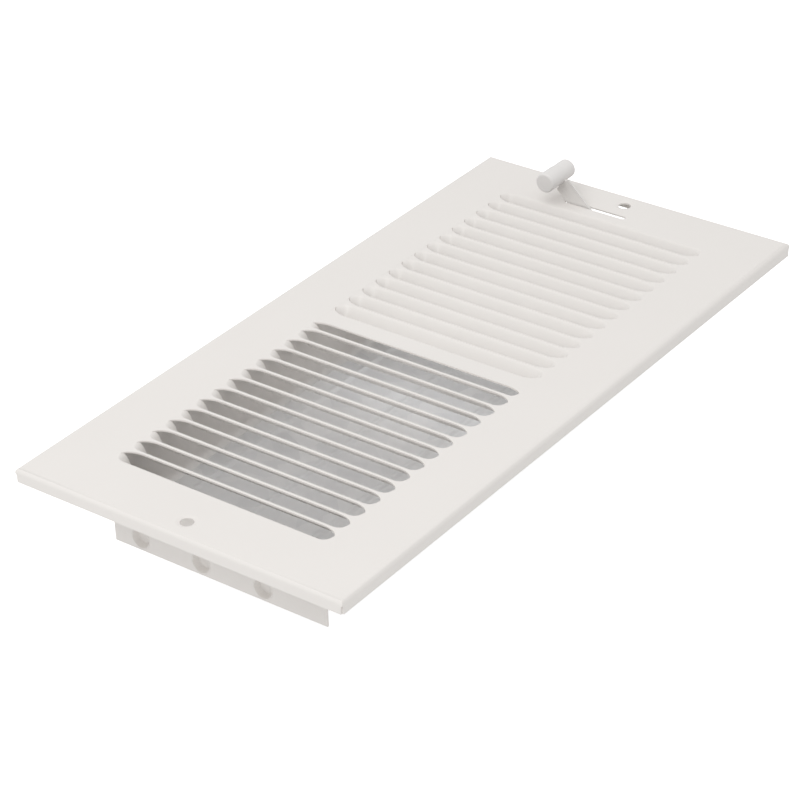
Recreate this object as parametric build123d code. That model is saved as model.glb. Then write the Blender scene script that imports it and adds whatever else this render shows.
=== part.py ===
from build123d import *
import math
import os

os.makedirs("parts", exist_ok=True)

# Driving dimensions, all in millimetres and degrees.
# Shapes are drawn with the face's front at Z 0, +X along the length to the lever and +Z into the room.
FACE_LENGTH = 298.45
FACE_WIDTH = 146.05
SHEET = 0.8
RIM_HEIGHT = 5.75
BEND_RADIUS = 2.0
CORNER_GAP = 0.5
CORNER_GAP_REACH = 8.0
CORNER_GAP_INSET = 1.0
END_BORDER = 23.225
SIDE_BORDER = 24.725

SCREW_INSET = 8.225
SCREW_HOLE_RADIUS = 2.6
DIMPLE_RADIUS = 4.0
DIMPLE_DEPTH = 0.4
DIMPLE_LAND = 1.2
DIMPLE_SPREAD = 0.3

STRIP_PITCH = 8.73
STRIP_WIDTH = 5.6
STRIP_ANGLE = 42.0
STRIP_SINK = 0.35
FIRST_STRIP = 11.4
TWIST_LENGTH = 4.0
LIP_LENGTH = 2.5
FIELD_END_GAP = 1.5
FIELD_SIDE_GAP = 0.1

PIVOT_DEPTH = 29.0
PLATE_SKIRT = 5.0
RAIL_SHEET = 0.6
RAIL_SKIRT = 1.0
RAIL_FLANGE = 7.5
FLANGE_GAP = 1.5
FLANGE_NOTCH_GAP = 3.0
BOSS_RADIUS = 3.6
BOSS_HEIGHT = 2.0
HOLLOW_MOUTH = 3.9
HOLLOW_FLOOR = 2.2

BLADE_SHEET = 0.5
BLADE_LIFT = 4.4
BLADE_NARROW = 8.6
BLADE_OVERLAP = 7.0
BLADE_TILT = 2.2
BLADE_END_GAP = 2.4
WIDE_EDGE_GAP = 1.3
NARROW_EDGE_GAP = 3.1
BEAD_WIDTH = 4.0
BEAD_HEIGHT = 0.6
BEAD_END = 14.0
BEAD_WALL = 0.35
EYE_RADIUS = 5.6
EYE_GAP = 1.1
EAR_RADIUS = 3.4
RUNNING_GAP = 0.08
SIDE_PLAY = 0.3

PIN_RADIUS = 1.6
PIN_SHOULDER = 2.2
PIN_HEAD = 2.8
PIN_HEAD_HEIGHT = 0.6
CRANK_CLEARANCE = 1.3
LINK_GAP = 1.4
LINK_SHEET = 0.8
LINK_HALF_HEIGHT = 3.6

LEVER_GAP = 3.6
LEVER_SHEET = 1.0
LEVER_WIDTH = 8.0
LEVER_PIVOT_DEPTH = 8.3
LEVER_LEAN = 45.0
LEVER_LENGTH = 26.8
SLOT_SIDE_GAP = 0.65
SLOT_END_GAP = 0.54
RIVET_SHANK = 2.0
RIVET_BEARING = 2.2
RIVET_SHOULDER = 3.4
RIVET_HEAD = 4.0
RIVET_HEAD_HEIGHT = 0.9
KNOB_RADIUS = 4.2
KNOB_LENGTH = 17.6
KNOB_SHIFT = -0.5
KNOB_CHAMFER = 0.6
KNOB_SEAT_GAP = 0.2
TANG_WIDTH = 4.4
TANG_DEPTH = 2.4

# Places along the length, from the middle of the face outwards.
SCREW_X = FACE_LENGTH / 2 - SCREW_INSET
PLATE_INNER = FACE_LENGTH / 2 - END_BORDER
PLATE_OUTER = PLATE_INNER + SHEET
END_FLANGE = SCREW_X - DIMPLE_RADIUS - DIMPLE_LAND - FLANGE_GAP
EYE_INNER = PLATE_INNER - EYE_GAP
EYE_OUTER = EYE_INNER + BLADE_SHEET
BLADE_HALF_LENGTH = PLATE_INNER - BLADE_END_GAP
LINK_INNER = PLATE_OUTER + LINK_GAP
LINK_OUTER = LINK_INNER + LINK_SHEET
LEVER_INNER = PLATE_OUTER + LEVER_GAP
LEVER_OUTER = LEVER_INNER + LEVER_SHEET
LEVER_X = (LEVER_INNER + LEVER_OUTER) / 2

# The louvre field, with as many strips as the length takes.
WINDOW = STRIP_PITCH - STRIP_WIDTH
LIP_RUN = LIP_LENGTH * math.cos(math.radians(STRIP_ANGLE))
STRIP_ROOM = PLATE_INNER - FIELD_END_GAP - LIP_RUN - WINDOW - STRIP_WIDTH / 2 - FIRST_STRIP
STRIP_COUNT = int(STRIP_ROOM / STRIP_PITCH) + 1
LAST_STRIP = FIRST_STRIP + STRIP_PITCH * (STRIP_COUNT - 1)
FIELD_INNER = FIRST_STRIP - STRIP_WIDTH / 2 - WINDOW
FIELD_OUTER = LAST_STRIP + STRIP_WIDTH / 2 + WINDOW
LIP_ROOT = FIELD_OUTER + LIP_RUN

# The damper frame and its three blades, which share the width between the rails.
PLATE_WIDTH = FACE_WIDTH - 2 * SIDE_BORDER
PLATE_BOTTOM = PIVOT_DEPTH + PLATE_SKIRT
RAIL_BOTTOM = PIVOT_DEPTH + RAIL_SKIRT
RAIL_FACE = PLATE_WIDTH / 2 - RAIL_SHEET
FIELD_HALF_WIDTH = RAIL_FACE - FIELD_SIDE_GAP
BLADE_COVER = (2 * RAIL_FACE - WIDE_EDGE_GAP - NARROW_EDGE_GAP + 2 * BLADE_OVERLAP) / 3
BLADE_WIDE = BLADE_COVER - BLADE_NARROW
PIVOT_PITCH = BLADE_COVER - BLADE_OVERLAP
RIGHT_PIVOT = BLADE_WIDE + WIDE_EDGE_GAP - RAIL_FACE
PIVOTS = {
    "left": RIGHT_PIVOT + 2 * PIVOT_PITCH,
    "middle": RIGHT_PIVOT + PIVOT_PITCH,
    "right": RIGHT_PIVOT,
}

# The linkage: equal cranks on the lever and the blades, long enough to pass under the end plate.
STEP_Y = math.sin(math.radians(LEVER_LEAN))
STEP_Z = math.cos(math.radians(LEVER_LEAN))
CRANK = (PLATE_SKIRT + PIN_SHOULDER + CRANK_CLEARANCE) / STEP_Z
CRANK_Y = -CRANK * STEP_Y
CRANK_Z = -CRANK * STEP_Z
LEVER_PIVOT_Y = PIVOTS["middle"]
SLOT_WIDTH = LEVER_SHEET + 2 * SLOT_SIDE_GAP
SLOT_REACH = (LEVER_PIVOT_DEPTH * STEP_Y + LEVER_WIDTH / 2) / STEP_Z + SLOT_END_GAP


def block(x0, x1, y0, y1, z0, z1):
    """Box between two corners."""
    middle = Pos((x0 + x1) / 2, (y0 + y1) / 2, (z0 + z1) / 2)
    return middle * Box(x1 - x0, y1 - y0, z1 - z0)


def rod(x0, x1, radius, y=0.0, z=0.0):
    """Cylinder along X between two stations."""
    return Pos((x0 + x1) / 2, y, z) * Rot(0, 90, 0) * Cylinder(radius, x1 - x0)


def profile_along_y(points, y0, y1):
    """Prism along Y from a closed outline of (x, z) points."""
    outline = Polyline([(x, y0, z) for x, z in points], close=True)
    return extrude(make_face(outline), amount=y1 - y0, dir=(0, 1, 0))


def profile_along_x(points, x0, x1):
    """Prism along X from a closed outline of (y, z) points."""
    outline = Polyline([(x0, y, z) for y, z in points], close=True)
    return extrude(make_face(outline), amount=x1 - x0, dir=(1, 0, 0))


def profile_along_z(points, z0, z1):
    """Prism along Z from a closed outline of (x, y) points."""
    outline = Polyline([(x, y, z0) for x, y in points], close=True)
    return extrude(make_face(outline), amount=z1 - z0, dir=(0, 0, 1))


def turned_x(points, y=0.0, z=0.0):
    """Round body about an X axis from a closed outline of (x, radius) points."""
    outline = Polyline([(x, 0, r) for x, r in points], close=True)
    return Pos(0, y, z) * revolve(make_face(outline), axis=Axis.X)


def polygon_face(points):
    """Flat face through the given corners."""
    return Face(Wire.make_polygon([Vector(*p) for p in points], close=True))


def twisted_strip(x, side):
    """One louvre strip, flat at both ends and turned about its length between them."""
    half = FIELD_HALF_WIDTH
    stations = [
        (-half, 0.0),
        (-half + TWIST_LENGTH * 0.5, 0.5),
        (-half + TWIST_LENGTH, 1.0),
        (half - TWIST_LENGTH, 1.0),
        (half - TWIST_LENGTH * 0.5, 0.5),
        (half, 0.0),
    ]
    rings = []
    for y, share in stations:
        turn = math.radians(STRIP_ANGLE * share) * side
        middle = -SHEET / 2 - STRIP_SINK * share
        ring = []
        for u, w in ((-1, 1), (1, 1), (1, -1), (-1, -1)):
            across = u * STRIP_WIDTH / 2
            up = w * SHEET / 2
            ring.append(
                (
                    x + across * math.cos(turn) - up * math.sin(turn),
                    y,
                    middle + across * math.sin(turn) + up * math.cos(turn),
                )
            )
        rings.append(ring)
    faces = [polygon_face(rings[0]), polygon_face(rings[-1])]
    for first, second in zip(rings[:-1], rings[1:]):
        level = first is rings[2]
        for i in range(4):
            j = (i + 1) % 4
            if level:
                faces.append(polygon_face([first[i], first[j], second[j], second[i]]))
            else:
                faces.append(polygon_face([first[i], first[j], second[j]]))
                faces.append(polygon_face([first[i], second[j], second[i]]))
    return Solid(Shell(faces))


def edge_lip(root, length, angle, inward):
    """Window edge turned down, with a flat web in each corner of the window."""
    slope = math.radians(angle)
    run = length * math.cos(slope) * inward
    drop = length * math.sin(slope)
    tip = (root + run, -drop)
    under = (tip[0] - SHEET * math.sin(slope) * inward, tip[1] - SHEET * math.cos(slope))
    outline = [
        (root, 0.0),
        tip,
        under,
        (root, -SHEET / math.cos(slope)),
    ]
    half = FIELD_HALF_WIDTH
    clear = half - length
    lip = profile_along_y(outline, -clear, clear)
    webs = []
    for s in (-1, 1):
        corner = [(root, s * half), (root + run, s * half), (root, s * clear)]
        webs.append(profile_along_z(corner, -SHEET, 0.0))
    return [lip] + webs


def screw_dimple(x):
    """Conical pressing round one screw hole."""
    wide = DIMPLE_RADIUS + DIMPLE_LAND
    outline = Polyline(
        [
            (SCREW_HOLE_RADIUS, 0, -DIMPLE_DEPTH),
            (DIMPLE_RADIUS, 0, 0),
            (wide, 0, 0),
            (wide, 0, -SHEET),
            (DIMPLE_RADIUS + DIMPLE_SPREAD, 0, -SHEET),
            (SCREW_HOLE_RADIUS, 0, -DIMPLE_DEPTH - SHEET),
        ],
        close=True,
    )
    return Pos(x, 0, 0) * revolve(make_face(outline), axis=Axis.Z)


def face_plate():
    """Stamped face with its rim, louvre strips, screw dimples and lever slot, one sheet."""
    top = (Align.CENTER, Align.CENTER, Align.MAX)
    outer = Box(FACE_LENGTH, FACE_WIDTH, RIM_HEIGHT, align=top)
    outer = fillet(outer.edges().group_by(Axis.Z)[-1], BEND_RADIUS)
    inner = Pos(0, 0, -SHEET) * Box(FACE_LENGTH - 2 * SHEET, FACE_WIDTH - 2 * SHEET, RIM_HEIGHT, align=top)
    inner = fillet(inner.edges().group_by(Axis.Z)[-1], BEND_RADIUS - SHEET)
    plate = outer - inner
    for sx in (-1, 1):
        for sy in (-1, 1):
            gap = Box(CORNER_GAP_REACH, CORNER_GAP, RIM_HEIGHT - BEND_RADIUS, align=top)
            corner_x = sx * (FACE_LENGTH / 2 - CORNER_GAP_INSET)
            corner_y = sy * (FACE_WIDTH / 2 - CORNER_GAP_INSET)
            spot = Pos(corner_x, corner_y, -BEND_RADIUS)
            plate -= spot * Rot(0, 0, 45 * sx * sy) * gap
    half = FIELD_HALF_WIDTH
    for s in (-1, 1):
        x0, x1 = sorted((s * FIELD_INNER, s * LIP_ROOT))
        plate -= block(x0, x1, -half, half, -SHEET - 1, 1)
        plate -= Pos(s * SCREW_X, 0, -SHEET / 2) * Cylinder(DIMPLE_RADIUS + DIMPLE_LAND, SHEET + 1)
    slot = Pos(LEVER_X, LEVER_PIVOT_Y, -SHEET) * extrude(
        Rot(0, 0, 90) * SlotOverall(2 * SLOT_REACH, SLOT_WIDTH), amount=SHEET + 1
    )
    plate -= slot
    pieces = []
    for s in (-1, 1):
        pieces += edge_lip(s * LIP_ROOT, LIP_LENGTH, STRIP_ANGLE, -s)
        pieces.append(screw_dimple(s * SCREW_X))
        for k in range(STRIP_COUNT):
            pieces.append(twisted_strip(s * (FIRST_STRIP + STRIP_PITCH * k), s))
    return plate.fuse(*pieces)


def end_plate(side, with_lever):
    """Upright end of the damper frame with three pressed pivots and an outward flange."""
    half = PLATE_WIDTH / 2
    plate = block(PLATE_INNER, PLATE_OUTER, -half, half, -PLATE_BOTTOM, -SHEET)
    flange = block(PLATE_INNER, END_FLANGE, -half, half, -2 * SHEET, -SHEET)
    if with_lever:
        reach = SLOT_REACH + FLANGE_NOTCH_GAP
        flange -= block(
            PLATE_OUTER,
            END_FLANGE + 1,
            LEVER_PIVOT_Y - reach,
            LEVER_PIVOT_Y + reach,
            -3 * SHEET,
            0,
        )
    plate += flange
    for y in PIVOTS.values():
        top = PLATE_INNER - BOSS_HEIGHT
        boss = [
            (PLATE_INNER + SHEET / 2, 0),
            (PLATE_INNER + SHEET / 2, BOSS_RADIUS),
            (top, BOSS_RADIUS),
            (top, 0),
        ]
        hollow = [
            (PLATE_OUTER, 0),
            (PLATE_OUTER, HOLLOW_MOUTH),
            (top + SHEET, HOLLOW_FLOOR),
            (top + SHEET, 0),
        ]
        plate += turned_x(boss, y, -PIVOT_DEPTH)
        plate -= turned_x(hollow, y, -PIVOT_DEPTH)
    if with_lever:
        plate -= rod(PLATE_INNER - 1, PLATE_OUTER + 1, RIVET_SHANK, LEVER_PIVOT_Y, -LEVER_PIVOT_DEPTH)
    if side < 0:
        plate = mirror(plate, about=Plane.YZ)
    return plate


def side_rail(side):
    """Long side of the damper frame with an outward flange, fitted between the end plates."""
    outer = PLATE_WIDTH / 2
    low = -SHEET - RAIL_SHEET
    wall = block(-PLATE_INNER, PLATE_INNER, RAIL_FACE, outer, -RAIL_BOTTOM, -SHEET)
    wall += block(-PLATE_INNER, PLATE_INNER, RAIL_FACE, outer + RAIL_FLANGE, low, -SHEET)
    if side < 0:
        wall = mirror(wall, about=Plane.XZ)
    return wall


def blade(y):
    """Damper blade with a pressed bead and an end eye for each pivot, crank ear at the lever end."""
    low = BLADE_LIFT
    high = BLADE_LIFT + BLADE_SHEET
    length = BLADE_HALF_LENGTH
    sheet = block(-length, length, -BLADE_WIDE, BLADE_NARROW, low, high)
    sheet += block(-EYE_OUTER, EYE_OUTER, -EYE_RADIUS, EYE_RADIUS, low, high)
    bead = length - BEAD_END
    wide = BEAD_WIDTH / 2
    rise = BEAD_HEIGHT
    raised = [(-wide, high), (-wide * 0.45, high + rise), (wide * 0.45, high + rise), (wide, high)]
    thin = wide - BEAD_WALL
    sunk = [(-thin, low), (-thin * 0.4, low + rise), (thin * 0.4, low + rise), (thin, low)]
    sheet += profile_along_x(raised, -bead, bead)
    sheet -= profile_along_x(sunk, -bead + 0.5, bead - 0.5)
    for s in (-1, 1):
        x0, x1 = sorted((s * EYE_INNER, s * EYE_OUTER))
        sheet += block(x0, x1, -EYE_RADIUS, EYE_RADIUS, 0, high)
    sheet = Rot(BLADE_TILT, 0, 0) * sheet
    for s in (-1, 1):
        x0, x1 = sorted((s * EYE_INNER, s * EYE_OUTER))
        sheet += rod(x0, x1, EYE_RADIUS)
    ear = block(EYE_INNER, EYE_OUTER, -EAR_RADIUS, EAR_RADIUS, -CRANK, 0)
    sheet += Rot(-LEVER_LEAN, 0, 0) * ear
    sheet += rod(EYE_INNER, EYE_OUTER, EAR_RADIUS, CRANK_Y, CRANK_Z)
    sheet -= rod(-EYE_OUTER - 1, EYE_OUTER + 1, BOSS_RADIUS + RUNNING_GAP)
    sheet -= rod(EYE_INNER - 1, EYE_OUTER + 1, PIN_RADIUS, CRANK_Y, CRANK_Z)
    return Pos(0, y, -PIVOT_DEPTH) * sheet


def blade_pin(y):
    """Shoulder rivet set flush in a blade's crank ear, running in the link bar."""
    outline = [
        (EYE_INNER, 0),
        (EYE_INNER, PIN_RADIUS),
        (EYE_OUTER, PIN_RADIUS),
        (EYE_OUTER, PIN_SHOULDER),
        (LINK_INNER - SIDE_PLAY, PIN_SHOULDER),
        (LINK_INNER - SIDE_PLAY, PIN_RADIUS),
        (LINK_OUTER + SIDE_PLAY, PIN_RADIUS),
        (LINK_OUTER + SIDE_PLAY, PIN_HEAD),
        (LINK_OUTER + SIDE_PLAY + PIN_HEAD_HEIGHT, PIN_HEAD),
        (LINK_OUTER + SIDE_PLAY + PIN_HEAD_HEIGHT, 0),
    ]
    return turned_x(outline, y + CRANK_Y, -PIVOT_DEPTH + CRANK_Z)


def link_bar():
    """Flat bar outside the lever end plate, joining the three blade cranks to the lever."""
    low = -PIVOT_DEPTH + CRANK_Z
    high = -LEVER_PIVOT_DEPTH + CRANK_Z
    first = PIVOTS["right"] + CRANK_Y
    last = PIVOTS["left"] + CRANK_Y
    lever_hole = LEVER_PIVOT_Y + CRANK_Y
    half = LINK_HALF_HEIGHT
    bar = block(LINK_INNER, LINK_OUTER, first, last, low - half, low + half)
    bar += rod(LINK_INNER, LINK_OUTER, half, first, low)
    bar += rod(LINK_INNER, LINK_OUTER, half, last, low)
    bar += block(LINK_INNER, LINK_OUTER, lever_hole - half, lever_hole + half, low, high)
    bar += rod(LINK_INNER, LINK_OUTER, half, lever_hole, high)
    hole = PIN_RADIUS + RUNNING_GAP
    for y in PIVOTS.values():
        bar -= rod(LINK_INNER - 1, LINK_OUTER + 1, hole, y + CRANK_Y, low)
    bar -= rod(LINK_INNER - 1, LINK_OUTER + 1, hole, lever_hole, high)
    return bar


def lever():
    """Flat lever through the face slot, with a tang for the knob and a lower crank arm."""
    half = LEVER_WIDTH / 2
    tang = TANG_WIDTH / 2
    shoulder = LEVER_LENGTH - KNOB_RADIUS - KNOB_SEAT_GAP
    strip = block(LEVER_INNER, LEVER_OUTER, -half, half, -CRANK, shoulder)
    strip += rod(LEVER_INNER, LEVER_OUTER, half, 0, -CRANK)
    strip += block(LEVER_INNER, LEVER_OUTER, -tang, tang, shoulder, LEVER_LENGTH + TANG_DEPTH)
    strip -= rod(LEVER_INNER - 1, LEVER_OUTER + 1, RIVET_BEARING + RUNNING_GAP)
    strip -= rod(LEVER_INNER - 1, LEVER_OUTER + 1, PIN_RADIUS, 0, -CRANK)
    return Pos(0, LEVER_PIVOT_Y, -LEVER_PIVOT_DEPTH) * Rot(-LEVER_LEAN, 0, 0) * strip


def lever_knob():
    """Round grip across the lever's tip, with a blind slot for the tang."""
    middle = LEVER_X + KNOB_SHIFT
    grip = rod(middle - KNOB_LENGTH / 2, middle + KNOB_LENGTH / 2, KNOB_RADIUS)
    grip = chamfer(grip.edges().filter_by(GeomType.CIRCLE), KNOB_CHAMFER)
    tang = TANG_WIDTH / 2
    grip -= block(LEVER_INNER, LEVER_OUTER, -tang, tang, -KNOB_RADIUS - 1, TANG_DEPTH)
    grip = Rot(-LEVER_LEAN, 0, 0) * grip
    tip_y = LEVER_PIVOT_Y + LEVER_LENGTH * STEP_Y
    tip_z = -LEVER_PIVOT_DEPTH + LEVER_LENGTH * STEP_Z
    return Pos(0, tip_y, tip_z) * grip


def lever_rivet():
    """Shoulder rivet that carries the lever on the end plate."""
    back = PLATE_INNER - RIVET_HEAD_HEIGHT
    front = LEVER_OUTER + SIDE_PLAY
    outline = [
        (back, 0),
        (back, RIVET_SHOULDER),
        (PLATE_INNER, RIVET_SHOULDER),
        (PLATE_INNER, RIVET_SHANK),
        (PLATE_OUTER, RIVET_SHANK),
        (PLATE_OUTER, RIVET_SHOULDER),
        (LEVER_INNER - SIDE_PLAY, RIVET_SHOULDER),
        (LEVER_INNER - SIDE_PLAY, RIVET_BEARING),
        (front, RIVET_BEARING),
        (front, RIVET_HEAD),
        (front + RIVET_HEAD_HEIGHT, RIVET_HEAD),
        (front + RIVET_HEAD_HEIGHT, 0),
    ]
    return turned_x(outline, LEVER_PIVOT_Y, -LEVER_PIVOT_DEPTH)


def lever_pin():
    """Shoulder rivet set flush in the lever's lower arm, running in the link bar's ear."""
    outline = [
        (LINK_INNER - SIDE_PLAY - PIN_HEAD_HEIGHT, 0),
        (LINK_INNER - SIDE_PLAY - PIN_HEAD_HEIGHT, PIN_HEAD),
        (LINK_INNER - SIDE_PLAY, PIN_HEAD),
        (LINK_INNER - SIDE_PLAY, PIN_RADIUS),
        (LINK_OUTER + SIDE_PLAY, PIN_RADIUS),
        (LINK_OUTER + SIDE_PLAY, PIN_SHOULDER),
        (LEVER_INNER, PIN_SHOULDER),
        (LEVER_INNER, PIN_RADIUS),
        (LEVER_OUTER, PIN_RADIUS),
        (LEVER_OUTER, 0),
    ]
    return turned_x(outline, LEVER_PIVOT_Y + CRANK_Y, -LEVER_PIVOT_DEPTH + CRANK_Z)


def save(node, shape):
    """Write one node as a STEP file, with the origin midway between the mouths of the screw holes."""
    placed = Pos(0, 0, DIMPLE_DEPTH) * shape
    export_step(placed, "parts/" + node + ".step")
    print(node, len(placed.solids()), round(placed.volume, 1))


save("face_plate", face_plate())
save("end_plate_plain", end_plate(-1, False))
save("end_plate_lever", end_plate(1, True))
save("side_rail_left", side_rail(1))
save("side_rail_right", side_rail(-1))
for name, place in PIVOTS.items():
    save("blade_" + name, blade(place))
    save("blade_pin_" + name, blade_pin(place))
save("link_bar", link_bar())
save("lever", lever())
save("lever_pin", lever_pin())
save("lever_rivet", lever_rivet())
save("lever_knob", lever_knob())
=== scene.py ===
"""Dressed model of the ceiling register: sheet meshes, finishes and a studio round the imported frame."""
import logging
import math
from collections.abc import Callable, Sequence
from dataclasses import dataclass
from enum import Enum

import bmesh
import bpy
from mathutils import Euler, Matrix, Vector
from mathutils.geometry import delaunay_2d_cdt


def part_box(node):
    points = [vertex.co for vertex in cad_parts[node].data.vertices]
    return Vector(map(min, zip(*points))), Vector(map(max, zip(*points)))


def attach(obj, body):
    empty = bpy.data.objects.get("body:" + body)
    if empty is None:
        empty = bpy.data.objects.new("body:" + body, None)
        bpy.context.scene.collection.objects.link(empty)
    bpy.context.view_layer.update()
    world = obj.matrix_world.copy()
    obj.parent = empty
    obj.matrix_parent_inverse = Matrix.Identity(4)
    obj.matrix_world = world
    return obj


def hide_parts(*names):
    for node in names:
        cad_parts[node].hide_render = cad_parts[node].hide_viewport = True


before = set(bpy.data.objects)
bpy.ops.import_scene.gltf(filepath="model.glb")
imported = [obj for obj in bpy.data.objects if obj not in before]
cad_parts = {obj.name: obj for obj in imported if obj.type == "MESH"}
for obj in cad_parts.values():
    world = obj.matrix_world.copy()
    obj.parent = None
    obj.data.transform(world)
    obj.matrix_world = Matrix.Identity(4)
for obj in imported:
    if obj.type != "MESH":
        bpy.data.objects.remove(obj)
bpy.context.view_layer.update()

Flat = tuple[float, float]
Place = tuple[float, float, float]
Colour = tuple[float, float, float, float]
Socket = bpy.types.NodeSocket

# Sizes below are in millimetres with the face's front at Z 0, and meshes are stored in metres.
MM = 0.001
RIM_HEIGHT = 5.75
FACE_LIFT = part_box("face_plate")[0].z / MM + RIM_HEIGHT
WHITE: Colour = (1.0, 1.0, 1.0, 1.0)

# Largest share of a side that a rounded corner takes, and steps round the usual curves.
CORNER_SHARE = 0.45
CORNER_STEPS = 4
BEND_STEPS = 6
HALF_STEPS = 20
PIN_STEPS = 24
HOLE_STEPS = 36
RING_STEPS = 48

log = logging.getLogger("ceiling_register")


class Body(Enum):
    """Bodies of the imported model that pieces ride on."""

    FRAME = "frame"
    LEVER = "lever"
    LINK = "link"
    BLADE_LEFT = "blade_left"
    BLADE_MIDDLE = "blade_middle"
    BLADE_RIGHT = "blade_right"


class Slot(Enum):
    """Material slots of the record."""

    ENAMEL = "white_enamel"
    GALVANISED = "galvanised_sheet"
    RIVET = "plated_rivet"
    LEVER = "plated_lever"
    VINYL = "white_vinyl"


class End(Enum):
    """The two ends of the register, by the sign of X."""

    PLAIN = -1
    LEVER = 1


class Side(Enum):
    """The two long sides of the damper frame, by the sign of Y."""

    LEFT = 1
    RIGHT = -1


def smooth_share(distance: float, run: float) -> float:
    """S-shaped share, from 0 to 1, of a change that takes a given run."""
    part = min(max(distance / run, 0.0), 1.0)
    return part * part * (3.0 - 2.0 * part)


def early_share(distance: float, run: float, haste: float) -> float:
    """Share, from 0 to 1, of a change that starts at once and settles gently."""
    part = min(max(distance / run, 0.0), 1.0)
    return 1.0 - (1.0 - part) ** haste


def arc(centre: Flat, radius: float, start: float, stop: float, steps: int) -> list[Flat]:
    """Points along a circular arc.

    Args:
        centre: Middle of the circle.
        radius: Radius of the circle.
        start: First angle in degrees.
        stop: Last angle in degrees.
        steps: Number of steps between the first and last points.

    Returns:
        The points, both ends included.
    """
    points = []
    for i in range(steps + 1):
        angle = math.radians(start + (stop - start) * i / steps)
        points.append((centre[0] + radius * math.cos(angle), centre[1] + radius * math.sin(angle)))
    return points


def ring(centre: Flat, radius: float, steps: int) -> list[Flat]:
    """Points round a whole circle, each once."""
    return arc(centre, radius, 0.0, 360.0, steps)[:-1]


def softened(points: Sequence[Flat], radius: float) -> list[Flat]:
    """Line with its corners rounded and its ends kept.

    Args:
        points: Corners of the line.
        radius: Most that each corner is cut back along its sides.

    Returns:
        The rounded line.
    """
    made = [points[0]]
    for before, corner, after in zip(points, points[1:], points[2:]):
        here = Vector(corner)
        back = Vector(before) - here
        ahead = Vector(after) - here
        cut = min(radius, back.length * CORNER_SHARE, ahead.length * CORNER_SHARE)
        first = here + back.normalized() * cut
        last = here + ahead.normalized() * cut
        for j in range(CORNER_STEPS + 1):
            t = j / CORNER_STEPS
            spot = first * (1 - t) ** 2 + here * 2 * t * (1 - t) + last * t**2
            made.append((spot.x, spot.y))
    return [*made, points[-1]]


def stepped(start: float, parts: Sequence[Flat]) -> list[Flat]:
    """Profile of a turned piece whose radius changes in steps.

    Args:
        start: X of the first step's near end.
        parts: X of the far end and the radius of each step.

    Returns:
        Points of (x, radius) along the steps.
    """
    points: list[Flat] = []
    for far, radius in parts:
        points += [(start, radius), (far, radius)]
        start = far
    return points


def inside(point: Flat, loop: Sequence[Flat]) -> bool:
    """Tell whether a point lies in a closed loop.

    Args:
        point: The point to test.
        loop: Corners of the loop.

    Returns:
        True if the point is inside.
    """
    x, y = point
    found = False
    for (x0, y0), (x1, y1) in zip(loop, [*loop[1:], loop[0]]):
        if (y0 > y) != (y1 > y) and x < (x1 - x0) * (y - y0) / (y1 - y0) + x0:
            found = not found
    return found


class Surface:
    """Sheet drawn as its middle surface in millimetres, with patches that join where their points meet."""

    GRID = 2000.0
    FILL_INSIDE = 1
    NEAR = 1e-5

    def __init__(self) -> None:
        """Start an empty surface."""
        self.points: list[Place] = []
        self.faces: list[tuple[int, ...]] = []
        self._known: dict[tuple[int, ...], int] = {}

    def face(self, corners: Sequence[Place]) -> None:
        """Add one face, with points that others share and without corners that coincide.

        Args:
            corners: The face's corners in order, in millimetres.
        """
        numbers: list[int] = []
        for corner in corners:
            key = tuple(round(c * self.GRID) for c in corner)
            number = self._known.setdefault(key, len(self.points))
            if number == len(self.points):
                self.points.append(corner)
            if number not in numbers:
                numbers.append(number)
        if len(numbers) > 2:
            self.faces.append(tuple(numbers))

    def grid(self, rows: Sequence[Sequence[Place]], round_about: bool = False) -> None:
        """Add a patch of quads.

        Args:
            rows: Rows of points, all of one length.
            round_about: True if each row closes on itself.
        """
        width = len(rows[0])
        for upper, lower in zip(rows[:-1], rows[1:]):
            for i in range(width if round_about else width - 1):
                j = (i + 1) % width
                self.face((upper[i], upper[j], lower[j], lower[i]))

    def region(
        self, outline: Sequence[Flat], holes: Sequence[Sequence[Flat]], lift: Callable[[Flat], Place]
    ) -> None:
        """Fill a flat outline that has holes.

        Args:
            outline: Outer loop.
            holes: Loops left open.
            lift: Gives the place of a flat point.
        """
        spots: list[Vector] = []
        edges: list[tuple[int, int]] = []
        for loop in (outline, *holes):
            start = len(spots)
            spots += [Vector(p) for p in loop]
            edges += [(start + i, start + (i + 1) % len(loop)) for i in range(len(loop))]
        made = delaunay_2d_cdt(spots, edges, [], self.FILL_INSIDE, self.NEAR)
        corners = [(p.x, p.y) for p in made[0]]
        for triangle in made[2]:
            middle = tuple(sum(corners[i][axis] for i in triangle) / 3 for axis in (0, 1))
            if inside(middle, outline) and not any(inside(middle, hole) for hole in holes):
                self.face([lift(corners[i]) for i in triangle])

    def mesh(self, name: str, place: Matrix | None = None) -> bpy.types.Mesh:
        """Make a Blender mesh of the surface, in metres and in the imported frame.

        Args:
            name: Name of the mesh.
            place: Move made in millimetres before the mesh is stored.

        Returns:
            The mesh.
        """
        move = Matrix.Scale(MM, 4) @ Matrix.Translation((0, 0, FACE_LIFT)) @ (place or Matrix.Identity(4))
        mesh = bpy.data.meshes.new(name)
        mesh.from_pydata([move @ Vector(p) for p in self.points], [], self.faces)
        work = bmesh.new()
        work.from_mesh(mesh)
        bmesh.ops.recalc_face_normals(work, faces=work.faces)
        work.to_mesh(mesh)
        work.free()
        return mesh


def add_object(name: str, data: bpy.types.ID) -> bpy.types.Object:
    """Add an object to the scene.

    Args:
        name: Name of the object.
        data: Mesh, lamp or camera that it holds.

    Returns:
        The object.
    """
    thing = bpy.data.objects.new(name, data)
    bpy.context.scene.collection.objects.link(thing)
    return thing


@dataclass(frozen=True)
class Fit:
    """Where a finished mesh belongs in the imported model."""

    body: Body
    slot: Slot
    node: str


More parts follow.
